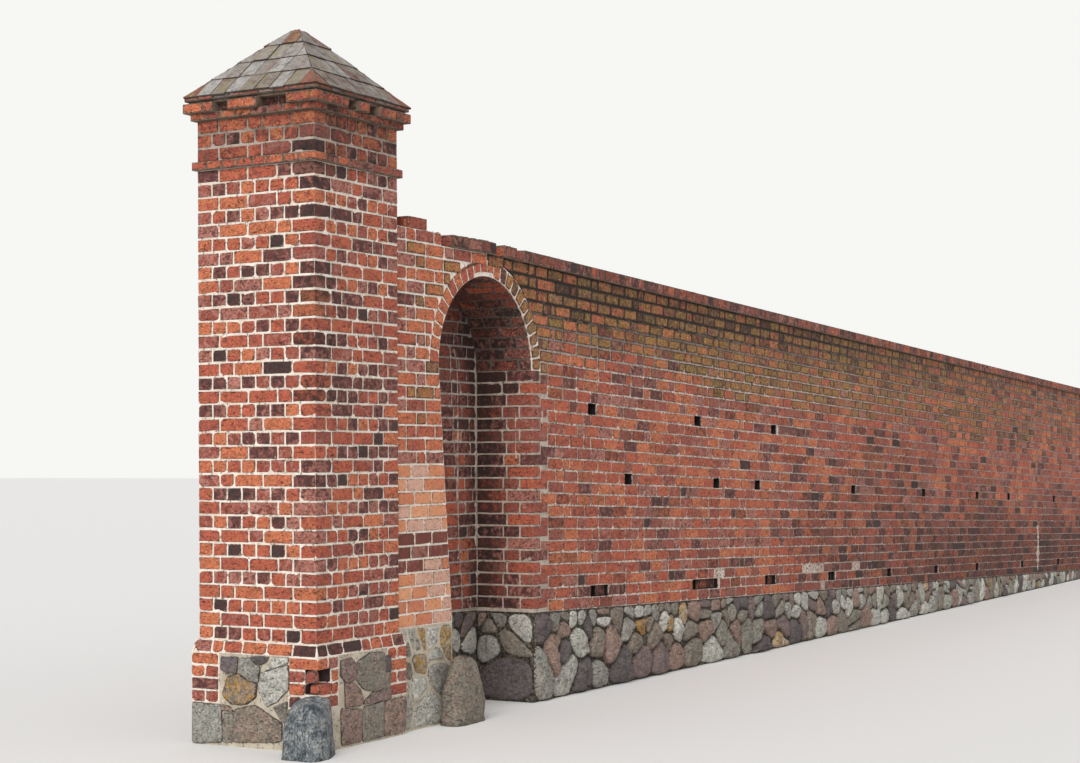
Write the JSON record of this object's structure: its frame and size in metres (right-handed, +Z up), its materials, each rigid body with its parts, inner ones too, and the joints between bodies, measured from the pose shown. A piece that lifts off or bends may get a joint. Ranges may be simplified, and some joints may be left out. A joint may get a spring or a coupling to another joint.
{
  "type": "town wall with end pier",
  "caption": "Old brick town wall ending at a square brick pier under a tiled pyramid cap, with a round-arched blind niche, putlog holes and a fieldstone base.",
  "frame": {"origin": "centre of the pier's foot, on the lowest ground", "axes": "+X along the wall away from the pier, +Y into the wall away from the street, +Z up"},
  "size_m": [24.385, 1.37, 5.164],
  "materials": {
    "old_brick": "weathered",
    "repair_brick": "weathered",
    "fieldstone": "rough",
    "granite": "rough",
    "lime_mortar": "rough",
    "cap_tile": "weathered"
  },
  "bodies": {
    "root": {"arch_ring": "old_brick", "bay1_back_lifts": "old_brick", "bay1_back_putlog_rows": "old_brick", "bay1_base": "fieldstone", "bay1_core": "lime_mortar", "bay1_street_lifts": "old_brick", "bay1_street_putlog_rows": "old_brick", "bay2_back_lifts": "old_brick", "bay2_back_putlog_rows": "old_brick", "bay2_base": "fieldstone", "bay2_core": "lime_mortar", "bay2_street_lifts": "old_brick", "bay2_street_putlog_rows": "old_brick", "cap_bed": "lime_mortar", "coping_bay1": "old_brick", "coping_bay2": "old_brick", "coping_near_pieces": "old_brick", "eave_tiles": "cap_tile", "far_jamb": "old_brick", "far_jamb_base": "fieldstone", "frieze": "old_brick", "guard_stone": "granite", "jamb_boulder": "fieldstone", "loose_brick": "old_brick", "lower_cornice": "old_brick", "near_base": "fieldstone", "near_stub": "old_brick", "near_top_course": "old_brick", "niche_back_base": "fieldstone", "niche_back_wall": "old_brick", "panel_back": "fieldstone", "panel_end": "fieldstone", "panel_street": "fieldstone", "pier_core": "fieldstone", "pier_foot_stones": "fieldstone", "pyramid_cap": "cap_tile", "quoin_end_back": "old_brick", "quoin_end_street": "old_brick", "quoin_wall_back": "old_brick", "quoin_wall_street": "old_brick", "repair_patch": "repair_brick", "shaft": "old_brick", "slope_course": "old_brick", "spandrel_far": "old_brick", "spandrel_near": "old_brick", "string_course": "old_brick", "upper_cornice": "old_brick"}
  },
  "joints": []
}
